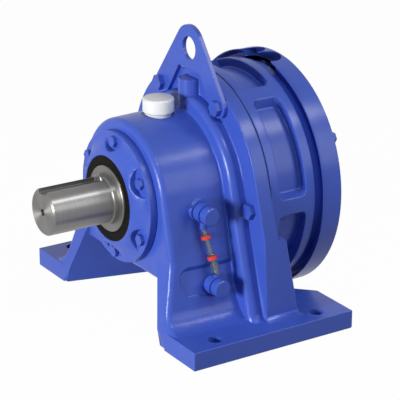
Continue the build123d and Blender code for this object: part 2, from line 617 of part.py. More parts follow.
def ball_bearing(bore_r, outer_r, width, y0):
    # Grooved outer and inner races, then the balls with their cage
    mid_r = (bore_r + outer_r) / 2
    mid_y = y0 + width / 2
    ball_r = 0.3 * (outer_r - bore_r)
    land = 0.55 * ball_r
    groove = Pos(0, mid_y, CENTRE_HEIGHT) * Rot(90, 0, 0) * Torus(mid_r, ball_r + RUN_GAP)
    outer = ring(outer_r, mid_r + land, y0, y0 + width) - groove
    inner = ring(mid_r - land, bore_r, y0, y0 + width) - groove
    cage = ring(mid_r + 1.2, mid_r - 1.2, mid_y - ball_r - 1.5, mid_y + ball_r + 1.5)
    places = around(BALL_COUNT, mid_r, 10)
    balls = [Pos(x, mid_y, CENTRE_HEIGHT + z) * Sphere(ball_r) for x, z in places]
    for x, z in places:
        cage = cage - Pos(x, mid_y, CENTRE_HEIGHT + z) * Sphere(ball_r + RUN_GAP)
    return outer, inner, Compound(balls + list(cage.solids()))


def joint_gasket(y0, outer_r):
    sheet = ring(outer_r, SPIGOT_R, y0, y0 + JOINT_T)
    for x, z in around(BOLT_COUNT, BOLT_CIRCLE_R):
        sheet = sheet - disc(BOLT_R + BOLT_HOLE_GAP, y0 - 1, y0 + JOINT_T + 1, x, z)
    return sheet


def rim_pocket(centre_deg):
    # One cast pocket in the rim, between two bolts
    floor = FLANGE_R - POCKET_DEPTH
    far = FLANGE_R + 8
    low = math.radians(POCKET_HALF_ANGLE - 3)
    high = math.radians(POCKET_HALF_ANGLE + 4)
    fan = make_face(Polyline(
        (0.9 * floor * math.cos(low * 0.96), -0.9 * floor * math.sin(low * 0.96)),
        (far * math.cos(high), -far * math.sin(high)),
        (far * math.cos(high) * 1.2, 0),
        (far * math.cos(high), far * math.sin(high)),
        (0.9 * floor * math.cos(low * 0.96), 0.9 * floor * math.sin(low * 0.96)),
        close=True))
    y0 = RING_FRONT_Y + POCKET_RIM
    y1 = RING_REAR_Y - POCKET_RIM
    cutter = prism(Pos(0, CENTRE_HEIGHT) * Rot(0, 0, centre_deg) * fan, y0, y1)
    cutter = cutter - disc(floor, y0 - 1, y1 + 1)
    ends = []
    for edge in cutter.edges().filter_by(GeomType.LINE):
        mid = edge.center()
        radial = math.hypot(mid.X, mid.Z - CENTRE_HEIGHT)
        if min(abs(mid.Y - y0), abs(mid.Y - y1)) < 0.1 and radial < far - 3:
            ends.append(edge)
    return fillet(ends, POCKET_CORNER_R)


def ring_gear_housing():
    front = RING_FRONT_Y
    rear = RING_REAR_Y
    body = disc(FLANGE_R, front, rear)
    body = body + disc(SPIGOT_R - SPIGOT_GAP, front - JOINT_T - SPIGOT_H + 0.2, front + 1)
    body = body - disc(RIB_BORE_R, front - 10, rear + 1)
    body = body - disc(RECESS_R, RECESS_FRONT_Y, RECESS_REAR_Y)
    body = body - disc(SPIGOT_R, rear - SPIGOT_H, rear + 1)
    for x, z in around(LOBES + 1, RING_PIN_CIRCLE_R):
        body = body - disc(RING_PIN_R, front - JOINT_T - SPIGOT_H - 1, rear + 1, x, z)
    for x, z in around(BOLT_COUNT, BOLT_CIRCLE_R):
        body = body - disc(BOLT_R + BOLT_HOLE_GAP, front - 10, rear + 1, x, z)
    for k in range(BOLT_COUNT):
        body = body - rim_pocket((k + 0.5) * 360.0 / BOLT_COUNT)
    return body


def ring_pins():
    y0 = RING_FRONT_Y - JOINT_T - SPIGOT_H + 0.5
    y1 = RING_REAR_Y - SPIGOT_H - 0.3
    return Compound([disc(RING_PIN_R, y0, y1, x, z)
                     for x, z in around(LOBES + 1, RING_PIN_CIRCLE_R)])


def ring_rollers():
    return Compound([ring(RING_ROLLER_R, RING_PIN_R + RUN_GAP, RECESS_FRONT_Y + 0.2,
                          RECESS_REAR_Y - 0.2, x, z)
                     for x, z in around(LOBES + 1, RING_PIN_CIRCLE_R)])


def lobe_outline(points_per_lobe=14):
    # Shortened epitrochoid, offset inward by the roller and its clearance
    pins = LOBES + 1
    offset = RING_ROLLER_R + LOBE_CLEARANCE
    points = []
    for k in range(LOBES * points_per_lobe):
        t = 2 * math.pi * k / (LOBES * points_per_lobe)
        lead = math.atan2(math.sin((1 - pins) * t),
                          RING_PIN_CIRCLE_R / (ECCENTRICITY * pins) - math.cos((1 - pins) * t))
        x = (RING_PIN_CIRCLE_R * math.cos(t) - offset * math.cos(t + lead)
             - ECCENTRICITY * math.cos(pins * t))
        y = (RING_PIN_CIRCLE_R * math.sin(t) - offset * math.sin(t + lead)
             - ECCENTRICITY * math.sin(pins * t))
        points.append((x, y))
    return make_face(Spline(*points, periodic=True))


def cycloid_disc(phase_deg, y0):
    # Lobed disc with the crank bore and the oversize holes for the output rollers
    plate = Circle(CRANK_BORE_R)
    plate = lobe_outline() - plate
    hole_r = OUTPUT_ROLLER_R + ECCENTRICITY + OUTPUT_HOLE_CLEARANCE
    for x, z in around(OUTPUT_PIN_COUNT, OUTPUT_PIN_CIRCLE_R, 22.5):
        plate = plate - Pos(x, z) * Circle(hole_r)
    shift = ECCENTRICITY * math.cos(math.radians(phase_deg))
    return prism(Pos(shift, CENTRE_HEIGHT) * Rot(0, 0, phase_deg) * plate, y0, y0 + DISC_T)


def disc_spacer():
    inner = OUTPUT_PIN_CIRCLE_R + OUTPUT_ROLLER_R + 0.1
    return ring(inner + SPACER_W, inner, SPACER_Y, SPACER_Y + SPACER_T)


def crank_sleeve():
    # Two eccentric lobes in one piece, keyed to the input shaft
    middle = SPACER_Y + SPACER_T / 2
    sleeve = disc(CRANK_R, SLEEVE_FRONT_Y, middle, ECCENTRICITY)
    sleeve = sleeve + disc(CRANK_R, middle, SLEEVE_REAR_Y, -ECCENTRICITY)
    sleeve = sleeve - disc(INPUT_R, SLEEVE_FRONT_Y - 1, SLEEVE_REAR_Y + 1)
    return sleeve - key_block(SLEEVE_FRONT_Y - 1, SLEEVE_REAR_Y + 1)


def key_block(y0, y1):
    return Pos(0, (y0 + y1) / 2, CENTRE_HEIGHT + INPUT_R) * Box(
        CRANK_KEY_W, y1 - y0, CRANK_KEY_H)


def crank_rollers(side, y0):
    # Cylindrical rollers and their cage between the crank lobe and the disc
    x = side * ECCENTRICITY
    mid_r = (CRANK_R + CRANK_BORE_R) / 2
    roller_r = (CRANK_BORE_R - CRANK_R) / 2
    end = 2.0
    cage = ring(mid_r + 1.2, mid_r - 1.2, y0 + 0.3, y0 + DISC_T - 0.3, x)
    rollers = []
    for dx, dz in around(CRANK_ROLLER_COUNT, mid_r):
        cage = cage - disc(roller_r + RUN_GAP, y0 + end, y0 + DISC_T - end, x + dx, dz)
        rollers.append(disc(roller_r - RUN_GAP, y0 + end + RUN_GAP, y0 + DISC_T - end - RUN_GAP,
                            x + dx, dz))
    return Compound(rollers + [cage])


def crank_clip():
    groove_r = INPUT_R - 1.5
    return ring(CLIP_R, groove_r, SLEEVE_FRONT_Y - CLIP_T, SLEEVE_FRONT_Y)


def input_shaft():
    drive_end = DRIVE_BRG_Y + DRIVE_BRG_W
    end = MOTOR_REAR_Y - MOTOR_REGISTER_DEPTH - INPUT_END_GAP
    shaft = turned(
        (0, PILOT_BRG_Y - 2), (PILOT_BRG_ID_R - 1, PILOT_BRG_Y - 2),
        (PILOT_BRG_ID_R, PILOT_BRG_Y - 1), (PILOT_BRG_ID_R, PILOT_BRG_Y + PILOT_BRG_W),
        (INPUT_R - 3, PILOT_BRG_Y + PILOT_BRG_W), (INPUT_R - 3, CARRIER_REAR_Y),
        (INPUT_R, CARRIER_REAR_Y), (INPUT_R, SLEEVE_REAR_Y), (INPUT_COLLAR_R, SLEEVE_REAR_Y),
        (INPUT_COLLAR_R, DRIVE_BRG_Y), (DRIVE_BRG_ID_R, DRIVE_BRG_Y),
        (DRIVE_BRG_ID_R, drive_end), (INPUT_SEAL_SEAT_R, drive_end), (INPUT_SEAL_SEAT_R, end),
        (0, end))
    shaft = shaft - ring(INPUT_R + 1, INPUT_R - 1.5, SLEEVE_FRONT_Y - CLIP_T, SLEEVE_FRONT_Y)
    shaft = shaft - key_block(SLEEVE_FRONT_Y, SLEEVE_REAR_Y)
    shaft = shaft - disc(INPUT_BORE_R, end - INPUT_BORE_L, end + 1)
    slot_h = INPUT_BORE_R + INPUT_KEY_H
    slot = Pos(0, end - INPUT_BORE_L / 2, CENTRE_HEIGHT) * Box(
        INPUT_KEY_W, INPUT_BORE_L + 2, slot_h, align=(Align.CENTER, Align.CENTER, Align.MAX))
    return shaft - Pos(0, 1, 0) * slot


def motor_flange():
    lip_y = MOTOR_FRONT_Y + GROOVE_W
    drive_end = DRIVE_BRG_Y + DRIVE_BRG_W
    seal_end = MOTOR_REAR_Y - MOTOR_REGISTER_DEPTH
    body = turned(
        (INPUT_SEAL_R, RING_REAR_Y - SPIGOT_H + 0.2),
        (SPIGOT_R - SPIGOT_GAP, RING_REAR_Y - SPIGOT_H + 0.2),
        (SPIGOT_R - SPIGOT_GAP, MOTOR_FRONT_Y), (GROOVE_INNER_R, MOTOR_FRONT_Y),
        (GROOVE_INNER_R, MOTOR_FRONT_Y + GROOVE_DEPTH),
        (MOTOR_FLANGE_R - LIP_T, MOTOR_FRONT_Y + GROOVE_DEPTH),
        (MOTOR_FLANGE_R - LIP_T, lip_y), (MOTOR_FLANGE_R, lip_y), (MOTOR_FLANGE_R, MOTOR_REAR_Y),
        (MOTOR_REGISTER_R, MOTOR_REAR_Y), (MOTOR_REGISTER_R, seal_end), (INPUT_SEAL_R, seal_end))
    body = body - disc(DRIVE_BRG_OD_R, RING_REAR_Y - SPIGOT_H - 1, drive_end)
    for way in (-1, 1):
        angle = math.radians(way * NOTCH_HALF_ANGLE)
        x = MOTOR_FLANGE_R * math.sin(angle)
        y_round = lip_y + NOTCH_DEPTH - NOTCH_R
        notch = upright(NOTCH_R, CENTRE_HEIGHT + 100, CENTRE_HEIGHT + 170, x, y_round)
        notch = notch + Pos(x, lip_y - 2, CENTRE_HEIGHT + 100) * Box(
            2 * NOTCH_R, y_round - lip_y + 2, 70, align=(Align.CENTER, Align.MIN, Align.MIN))
        body = body - (notch - disc(GROOVE_INNER_R, lip_y - 5, MOTOR_REAR_Y))
    cusp = Pos(0, lip_y - 2, CENTRE_HEIGHT + MOTOR_FLANGE_R - LIP_T - 1) * Box(
        NOTCH_R, NOTCH_CUSP + 2, 2 * LIP_T, align=(Align.CENTER, Align.MIN, Align.MIN))
    body = body - cusp
    for x, z in around(BOLT_COUNT, BOLT_CIRCLE_R):
        body = body - disc(BOLT_R + THREAD_GAP, MOTOR_FRONT_Y - 1, MOTOR_FRONT_Y + BOLT_GRIP + 1,
                           x, z)
    for x, z in around(MOTOR_BOLT_COUNT, MOTOR_BOLT_CIRCLE_R, 45):
        body = body - disc(MOTOR_BOLT_R, MOTOR_REAR_Y - MOTOR_BOLT_DEPTH, MOTOR_REAR_Y + 1, x, z)
    for x, z in around(RIM_SCREW_COUNT, RIM_SCREW_CIRCLE_R, RIM_SCREW_FIRST_DEG):
        body = body - disc(RIM_SCREW_R + THREAD_GAP, MOTOR_REAR_Y - RIM_SCREW_L - 1,
                           MOTOR_REAR_Y + 1, x, z)
    return body


def rim_screws():
    return Compound([hex_bolt(RIM_SCREW_R, RIM_SCREW_AF, RIM_SCREW_HEAD_H, RIM_SCREW_L,
                              MOTOR_REAR_Y, x, z, -1)
                     for x, z in around(RIM_SCREW_COUNT, RIM_SCREW_CIRCLE_R,
                                        RIM_SCREW_FIRST_DEG)])


def flange_bolts():
    # Six through bolts; the two at the top also hold the lifting plate
    bolts = []
    for k, (x, z) in enumerate(around(BOLT_COUNT, BOLT_CIRCLE_R)):
        seat = FLANGE_FRONT_Y - (PLATE_THICK if k in (1, 2) else 0)
        length = MOTOR_FRONT_Y + BOLT_GRIP - seat
        bolts.append(hex_bolt(BOLT_R, BOLT_HEAD_AF, BOLT_HEAD_H, length, seat, x, z))
    return Compound(bolts)


def lifting_plate():
    bolt_x, bolt_z = around(BOLT_COUNT, BOLT_CIRCLE_R)[1]
    corners = [Pos(way * bolt_x, CENTRE_HEIGHT + bolt_z) * Circle(PLATE_CORNER_R)
               for way in (-1, 1)]
    eye = Pos(0, PLATE_EYE_Z) * Circle(PLATE_EYE_R)
    plan = make_hull((corners[0] + corners[1] + eye).edges())
    low = CENTRE_HEIGHT + bolt_z - PLATE_CORNER_R - 1
    low_half = PLATE_WINDOW_TOP_HALF + PLATE_WINDOW_SLOPE * (PLATE_WINDOW_TOP_Z - low)
    window = make_face(Polyline(
        (-low_half, low), (low_half, low), (PLATE_WINDOW_TOP_HALF, PLATE_WINDOW_TOP_Z),
        (-PLATE_WINDOW_TOP_HALF, PLATE_WINDOW_TOP_Z), close=True))
    plan = plan - window - Pos(0, PLATE_EYE_Z) * Circle(PLATE_HOLE_R)
    for way in (-1, 1):
        plan = plan - Pos(way * bolt_x, CENTRE_HEIGHT + bolt_z) * Circle(BOLT_R + BOLT_HOLE_GAP)
    plate = prism(plan, FLANGE_FRONT_Y - PLATE_THICK, FLANGE_FRONT_Y)
    return plate - disc(SHOULDER_R + 0.3, FLANGE_FRONT_Y - 20, FLANGE_FRONT_Y + 1)


def breather_plug():
    seat = BREATHER_SEAT_Z
    plug = upright(BREATHER_COLLAR_R, seat, seat + BREATHER_COLLAR_H, 0, BREATHER_Y)
    return plug + upright(BREATHER_STEM_R, seat - BREATHER_STEM_L, seat, 0, BREATHER_Y)


def breather_cap():
    base = BREATHER_SEAT_Z + BREATHER_COLLAR_H
    cap = upright(BREATHER_CAP_R, base, base + BREATHER_CAP_H, 0, BREATHER_Y)
    return chamfer(cap.edges().filter_by(GeomType.CIRCLE), 1.5)


def gauge_point(mm_down):
    # A place on the tube's line, measured down from the upper neck
    top = Vector(*GAUGE_NECK_TOP)
    way = (Vector(*GAUGE_NECK_FOOT) - top).normalized()
    return top + way * mm_down


def gauge_eye(centre, neck_end, into_tube):
    # Banjo eye with its neck, bored for the hollow bolt and counterbored for the tube
    x, y, z = centre
    eye = rod(GAUGE_STUB_R, Vector(x, y, z), Vector(*neck_end))
    eye = eye & (Pos(x, y, z) * Box(BANJO_W, 100, 100))
    eye = eye + sideways(BANJO_R, x - BANJO_W / 2, x + BANJO_W / 2, y, z)
    eye = eye - rod(GLASS_R, Vector(*neck_end), into_tube)
    return eye - sideways(GAUGE_BOLT_R + 0.1, x - BANJO_W, x + BANJO_W, y, z)


def gauge_bolt(centre):
    x, y, z = centre
    seat = x + BANJO_W / 2 + WASHER_T
    head = sideways(GAUGE_HEAD_R, seat, seat + GAUGE_HEAD_H, y, z)
    head = chamfer(head.edges().filter_by(GeomType.CIRCLE).sort_by(Axis.X)[-1], 1.5)
    return head + sideways(GAUGE_BOLT_R, seat - GAUGE_BOLT_L, seat, y, z)


def gauge_washers():
    rings = []
    for x, y, z in (GAUGE_UPPER, GAUGE_LOWER):
        for x0 in (x - BANJO_W / 2 - WASHER_T, x + BANJO_W / 2):
            rings.append(sideways(WASHER_R, x0, x0 + WASHER_T, y, z)
                         - sideways(GAUGE_BOLT_R + 0.1, x0 - 1, x0 + WASHER_T + 1, y, z))
    return Compound(rings)


def gauge_tube():
    start = gauge_point(0)
    end = gauge_point(GAUGE_SPAN)
    return rod(GLASS_R, start, end) - rod(GLASS_R - GLASS_WALL, start, end)


def gauge_sleeves(r, height, places):
    # Short sleeves threaded on the glass tube
    return Compound([rod(r, gauge_point(mm), gauge_point(mm + height))
                     - rod(GLASS_R, gauge_point(mm - 1), gauge_point(mm + height + 1))
                     for mm in places])


def drain_plug():
    top = DRAIN_SEAT_Z - WASHER_T
    head = Pos(0, DRAIN_Y, top - DRAIN_HEAD_H) * extrude(
        RegularPolygon(DRAIN_AF / 2, 6, major_radius=False), amount=DRAIN_HEAD_H)
    return head + upright(DRAIN_R, top, top + DRAIN_L, 0, DRAIN_Y)


def drain_washer():
    top = DRAIN_SEAT_Z
    washer = upright(DRAIN_AF / 2, top - WASHER_T, top, 0, DRAIN_Y)
    return washer - upright(DRAIN_R + 0.1, top - WASHER_T - 1, top + 1, 0, DRAIN_Y)


PARTS = {}
PARTS["casing"] = casing()
PARTS["front_cover"] = front_cover()
PARTS["cover_gasket"] = cover_gasket()
PARTS["cover_bolts"] = cover_bolts()
PARTS["output_oil_seal"] = lip_seal(SEAL_R, COLLAR_R, COVER_NOSE_Y + 0.5, SEAL_W)
PARTS["shaft_collar"] = shaft_collar()
PARTS["output_shaft"] = output_shaft()
PARTS["output_pins"] = output_pins()
PARTS["output_rollers"] = output_rollers()
PARTS["ring_gear_housing"] = ring_gear_housing()
PARTS["ring_pins"] = ring_pins()
PARTS["ring_rollers"] = ring_rollers()
PARTS["cycloid_disc_front"] = cycloid_disc(0, DISC_FRONT_Y)
PARTS["cycloid_disc_rear"] = cycloid_disc(180, DISC_REAR_Y)
PARTS["disc_spacer"] = disc_spacer()
PARTS["crank_sleeve"] = crank_sleeve()
PARTS["crank_key"] = key_block(SLEEVE_FRONT_Y, SLEEVE_REAR_Y)
PARTS["crank_retaining_ring"] = crank_clip()
PARTS["crank_rollers_front"] = crank_rollers(1, DISC_FRONT_Y)
PARTS["crank_rollers_rear"] = crank_rollers(-1, DISC_REAR_Y)
PARTS["input_shaft"] = input_shaft()
PARTS["motor_flange"] = motor_flange()
PARTS["input_oil_seal"] = lip_seal(INPUT_SEAL_R, INPUT_SEAL_SEAT_R,
                                   MOTOR_REAR_Y - MOTOR_REGISTER_DEPTH - INPUT_SEAL_W,
                                   INPUT_SEAL_W)
PARTS["casing_gasket"] = joint_gasket(FLANGE_REAR_Y, FLANGE_R - 0.5)
PARTS["motor_gasket"] = joint_gasket(RING_REAR_Y, GROOVE_INNER_R - 0.5)
PARTS["rim_screws"] = rim_screws()
PARTS["flange_bolts"] = flange_bolts()
PARTS["lifting_plate"] = lifting_plate()
PARTS["breather_plug"] = breather_plug()
PARTS["breather_cap"] = breather_cap()
PARTS["gauge_upper_eye"] = gauge_eye(GAUGE_UPPER, GAUGE_NECK_TOP, gauge_point(5))
PARTS["gauge_lower_eye"] = gauge_eye(GAUGE_LOWER, GAUGE_NECK_FOOT, gauge_point(GAUGE_SPAN - 5))
PARTS["gauge_bolts"] = Compound([gauge_bolt(GAUGE_UPPER), gauge_bolt(GAUGE_LOWER)])
PARTS["gauge_washers"] = gauge_washers()
PARTS["gauge_tube"] = gauge_tube()
PARTS["gauge_level_rings"] = gauge_sleeves(GAUGE_RING_R, GAUGE_RING_H, GAUGE_RING_AT)
PARTS["gauge_end_sleeve"] = gauge_sleeves(GAUGE_END_R, GAUGE_END_H, GAUGE_END_AT)
PARTS["drain_plug"] = drain_plug()
PARTS["drain_washer"] = drain_washer()
BEARINGS = {
    "front": (SEAT_R, FRONT_BRG_OD_R, FRONT_BRG_W, FRONT_BRG_Y),
    "rear": (CARRIER_SEAT_R, REAR_BRG_OD_R, REAR_BRG_W, REAR_BRG_Y),
    "pilot": (PILOT_BRG_ID_R, PILOT_BRG_OD_R, PILOT_BRG_W, PILOT_BRG_Y),
    "drive": (DRIVE_BRG_ID_R, DRIVE_BRG_OD_R, DRIVE_BRG_W, DRIVE_BRG_Y)}
for bearing, sizes in BEARINGS.items():
    outer, inner, balls = ball_bearing(*sizes)
    PARTS[bearing + "_bearing_outer_race"] = outer
    PARTS[bearing + "_bearing_inner_race"] = inner
    PARTS[bearing + "_bearing_balls"] = balls

os.makedirs("parts", exist_ok=True)
for name, shape in PARTS.items():
    export_step(shape, "parts/" + name + ".step")
print(len(PARTS), "nodes")
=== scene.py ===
import json
import math

import bpy
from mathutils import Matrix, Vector


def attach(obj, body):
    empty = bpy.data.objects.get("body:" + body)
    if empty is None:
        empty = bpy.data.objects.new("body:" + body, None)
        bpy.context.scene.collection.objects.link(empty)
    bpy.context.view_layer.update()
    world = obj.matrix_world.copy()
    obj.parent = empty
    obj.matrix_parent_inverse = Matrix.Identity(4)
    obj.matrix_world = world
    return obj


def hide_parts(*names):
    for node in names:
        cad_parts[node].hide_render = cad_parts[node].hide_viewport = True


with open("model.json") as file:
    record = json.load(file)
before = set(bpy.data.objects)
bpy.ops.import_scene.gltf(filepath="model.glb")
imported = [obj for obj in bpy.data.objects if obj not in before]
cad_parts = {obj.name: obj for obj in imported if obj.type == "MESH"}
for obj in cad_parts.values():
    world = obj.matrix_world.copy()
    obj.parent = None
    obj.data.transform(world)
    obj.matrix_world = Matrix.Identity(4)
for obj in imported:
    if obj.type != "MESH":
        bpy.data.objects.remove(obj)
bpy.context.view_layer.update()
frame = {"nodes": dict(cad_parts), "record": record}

# The casing is one grey-iron casting: barrel, arch-shaped legs, feet and rear flange in one shell.
# Its cast edges are rounded by the mould, and the whole unit is sprayed after assembly with one
# coat of gloss blue enamel, so every painted piece below wears the same paint.


def colour(code):
    # sRGB hex to the linear values that Blender's sockets hold
    parts = [int(code[i:i + 2], 16) / 255 for i in (1, 3, 5)]
    return [p / 12.92 if p <= 0.04045 else ((p + 0.055) / 1.055) ** 2.4 for p in parts] + [1.0]


def add_node(owner, kind, settings=None, links=None, **attributes):
    # One node with its settings; links go from (node, output) to this node's input names
    tree = owner.node_tree
    node = tree.nodes.new(kind)
    for name, value in attributes.items():
        setattr(node, name, value)
    for name, value in (settings or {}).items():
        node.inputs[name].default_value = value
    for name, (source, output) in (links or {}).items():
        tree.links.new(source.outputs[output], node.inputs[name])
    return node


def new_finish(name):
    # A material that holds only its output node
    material = bpy.data.materials.new(name)
    material.use_nodes = True
    tree = material.node_tree
    for node in list(tree.nodes):
        if node.type == "BSDF_PRINCIPLED":
            tree.nodes.remove(node)
    return material


def to_surface(material, shader, output="BSDF"):
    out = [n for n in material.node_tree.nodes if n.type == "OUTPUT_MATERIAL"][0]
    material.node_tree.links.new(shader.outputs[output], out.inputs["Surface"])


def wear(piece, material):
    piece.data.materials.clear()
    piece.data.materials.append(material)


def deselect():
    bpy.ops.object.select_all(action="DESELECT")


def take_on(piece):
    deselect()
    piece.select_set(True)
    bpy.context.view_layer.objects.active = piece


def from_cad(node, name):
    # A copy of the CAD piece's mesh with its loose triangles welded, ready to be finished
    same_point = 0.00001
    flat = math.radians(0.3)
    piece = frame["nodes"][node].copy()
    piece.data = piece.data.copy()
    piece.name = name
    piece.parent = None
    bpy.context.collection.objects.link(piece)
    take_on(piece)
    bpy.ops.object.mode_set(mode="EDIT")
    bpy.ops.mesh.select_all(action="SELECT")
    bpy.ops.mesh.remove_doubles(threshold=same_point)
    bpy.ops.mesh.dissolve_limited(angle_limit=flat)
    bpy.ops.object.mode_set(mode="OBJECT")
    return piece


def pick_points(piece, test):
    # Goes into edit mode with only those vertices selected that the test holds for
    take_on(piece)
    bpy.ops.object.mode_set(mode="EDIT")
    bpy.ops.mesh.select_mode(type="VERT")
    bpy.ops.mesh.select_all(action="DESELECT")
    bpy.ops.object.mode_set(mode="OBJECT")
    for point in piece.data.vertices:
        point.select = test(point.co)
    bpy.ops.object.mode_set(mode="EDIT")


def round_edges(piece, width, longer_than=0.0, leave=None):
    # Rounds the sharp edges; short ones and those that leave holds for stay as they are
    sharp = math.radians(35)
    smooth = math.radians(40)
    take_on(piece)
    bpy.ops.object.mode_set(mode="EDIT")
    bpy.ops.mesh.select_mode(type="EDGE")
    bpy.ops.mesh.select_all(action="DESELECT")
    bpy.ops.mesh.edges_select_sharp(sharpness=sharp)
    bpy.ops.object.mode_set(mode="OBJECT")
    points = piece.data.vertices
    for edge in piece.data.edges:
        ends = [points[i].co for i in edge.vertices]
        left = leave is not None and any(leave(end) for end in ends)
        if left or (ends[0] - ends[1]).length < longer_than:
            edge.select = False
    bpy.ops.object.mode_set(mode="EDIT")
    bpy.ops.mesh.bevel(offset=width, segments=2, affect="EDGES", clamp_overlap=False)
    bpy.ops.mesh.select_mode(type="VERT")
    bpy.ops.object.mode_set(mode="OBJECT")
    bpy.ops.object.shade_smooth_by_angle(angle=smooth)
    # Large faces rule the normals at their edges, so that they stay flat up to the rounded edge
    piece.modifiers.new("normals", "WEIGHTED_NORMAL").keep_sharp = True
    bpy.ops.object.modifier_apply(modifier="normals")


# Gloss enamel sprayed on cast iron: a deep blue body under a thin clear sheen. The sheen wavers
# with the casting's skin, in waves of about 22 mm, and with orange peel of about 2 mm.
enamel = new_finish("gloss_blue_enamel_on_iron")
place = add_node(enamel, "ShaderNodeTexCoord")
cast_waves = add_node(enamel, "ShaderNodeTexNoise",
                      {"Scale": 1 / 0.022, "Detail": 2.0, "Roughness": 0.45},
                      {"Vector": (place, "Object")})
orange_peel = add_node(enamel, "ShaderNodeTexNoise",
                       {"Scale": 1 / 0.0022, "Detail": 1.0, "Roughness": 0.5},
                       {"Vector": (place, "Object")})
tone = add_node(enamel, "ShaderNodeMixRGB",
                {"Color1": colour("#3751b0"), "Color2": colour("#3d58ba")},
                {"Fac": (cast_waves, "Fac")})
wave_bump = add_node(enamel, "ShaderNodeBump", {"Strength": 0.20, "Distance": 0.0012},
                     {"Height": (cast_waves, "Fac")})
peel_bump = add_node(enamel, "ShaderNodeBump", {"Strength": 0.10, "Distance": 0.0002},
                     {"Height": (orange_peel, "Fac"), "Normal": (wave_bump, "Normal")})
coat = add_node(enamel, "ShaderNodeBsdfPrincipled",
                {"Roughness": 0.40, "IOR": 1.5, "Specular IOR Level": 0.12,
                 "Coat Weight": 0.32, "Coat Roughness": 0.22},
                {"Base Color": (tone, "Color"), "Normal": (peel_bump, "Normal")})
to_surface(enamel, coat)


# The front of the hub and legs lies before this plane
FRONT_Y = -0.090


def rounded_already(point):
    # The front of the hub and legs, and the line where the side panel fades out at its foot
    front = point.y < FRONT_Y and abs(point.x) < 0.135
    panel_foot = 0.060 < point.z < 0.064 and point.y < -0.015
    return front or panel_foot


casing = from_cad("casing", "casting")
# Ledges of 0.2 mm, where the front blends meet, are closed as the enamel would fill them
LEDGE = 0.00025
pick_points(casing, lambda point: point.y < FRONT_Y and point.z < 0.120)
bpy.ops.mesh.remove_doubles(threshold=LEDGE)
bpy.ops.object.mode_set(mode="OBJECT")
round_edges(casing, width=0.0016, longer_than=0.006, leave=rounded_already)
wear(casing, enamel)
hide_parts("casing")
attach(casing, "housing")

# The output end: a bolted cover over the front bearing, with scallops milled for its screws.
# It is iron in the same paint, and its screws and gasket went on before the paint.
cover = from_cad("front_cover", "bearing_cover")
round_edges(cover, width=0.0008)
wear(cover, enamel)
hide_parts("front_cover")
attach(cover, "housing")
wear(frame["nodes"]["cover_bolts"], enamel)

# Three gaskets of pressed fibre sheet, punched to shape and clamped between the castings.
# Their edges show as thin lines, nearly black and matt, with brown flecks of about 1.5 mm.
gasket_fibre = new_finish("pressed_fibre_gasket")
place = add_node(gasket_fibre, "ShaderNodeTexCoord")
fibre = add_node(gasket_fibre, "ShaderNodeTexNoise", {"Scale": 1 / 0.0015, "Detail": 4.0},
                 {"Vector": (place, "Object")})
tone = add_node(gasket_fibre, "ShaderNodeMixRGB",
                {"Color1": colour("#171511"), "Color2": colour("#25221b")},
                {"Fac": (fibre, "Fac")})
sheet = add_node(gasket_fibre, "ShaderNodeBsdfPrincipled", {"Roughness": 0.85},
                 {"Base Color": (tone, "Color")})
to_surface(gasket_fibre, sheet)
for node in ("cover_gasket", "casing_gasket", "motor_gasket"):
    wear(frame["nodes"][node], gasket_fibre)

# The shaft seals are moulded nitrile rubber on a steel ring, one pressed into the cover and one
# at the input end. Black without shine, with a slightly dusty bloom in patches of 6 mm.
nitrile = new_finish("moulded_nitrile_rubber")
place = add_node(nitrile, "ShaderNodeTexCoord")
bloom = add_node(nitrile, "ShaderNodeTexNoise", {"Scale": 1 / 0.006, "Detail": 3.0},
                 {"Vector": (place, "Object")})
tone = add_node(nitrile, "ShaderNodeMixRGB",
                {"Color1": colour("#0a0907"), "Color2": colour("#14120f")},
                {"Fac": (bloom, "Fac")})
rubber = add_node(nitrile, "ShaderNodeBsdfPrincipled",
                  {"Roughness": 0.6, "IOR": 1.5, "Specular IOR Level": 0.05},
                  {"Base Color": (tone, "Color")})
to_surface(nitrile, rubber)
for node in ("output_oil_seal", "input_oil_seal"):
    wear(frame["nodes"][node], nitrile)

# The output shaft is one forging with its carrier plate, turned and then ground.
# Grinding leaves fine rings round the shaft, which stretch its reflections along its length.
# The rings are 0.35 mm apart, drawn at 1.2 mm so that they show at the photograph's distance.
ground_steel = new_finish("ground_alloy_steel")
place = add_node(ground_steel, "ShaderNodeTexCoord")
stretch = add_node(ground_steel, "ShaderNodeMapping", {"Scale": (0.02, 1.0, 0.02)},
                   {"Vector": (place, "Object")})
rings = add_node(ground_steel, "ShaderNodeTexNoise", {"Scale": 1 / 0.0012, "Detail": 3.0},
                 {"Vector": (stretch, "Vector")})
tone = add_node(ground_steel, "ShaderNodeMixRGB",
                {"Color1": colour("#767574"), "Color2": colour("#8b8a88")},
                {"Fac": (rings, "Fac")})
bump = add_node(ground_steel, "ShaderNodeBump", {"Strength": 0.12, "Distance": 0.0001},
                {"Height": (rings, "Fac")})
round_the_shaft = add_node(ground_steel, "ShaderNodeTangent", direction_type="RADIAL", axis="Y")
steel = add_node(ground_steel, "ShaderNodeBsdfPrincipled",
                 {"Metallic": 1.0, "Roughness": 0.40, "Anisotropic": 0.85,
                  "Anisotropic Rotation": 0.25},
                 {"Base Color": (tone, "Color"), "Normal": (bump, "Normal"),
                  "Tangent": (round_the_shaft, "Tangent")})
to_surface(ground_steel, steel)
shaft = from_cad("output_shaft", "shaft_and_carrier")
round_edges(shaft, width=0.0003, longer_than=0.0025)
wear(shaft, ground_steel)
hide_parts("output_shaft")
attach(shaft, "output")
wear(frame["nodes"]["shaft_collar"], ground_steel)

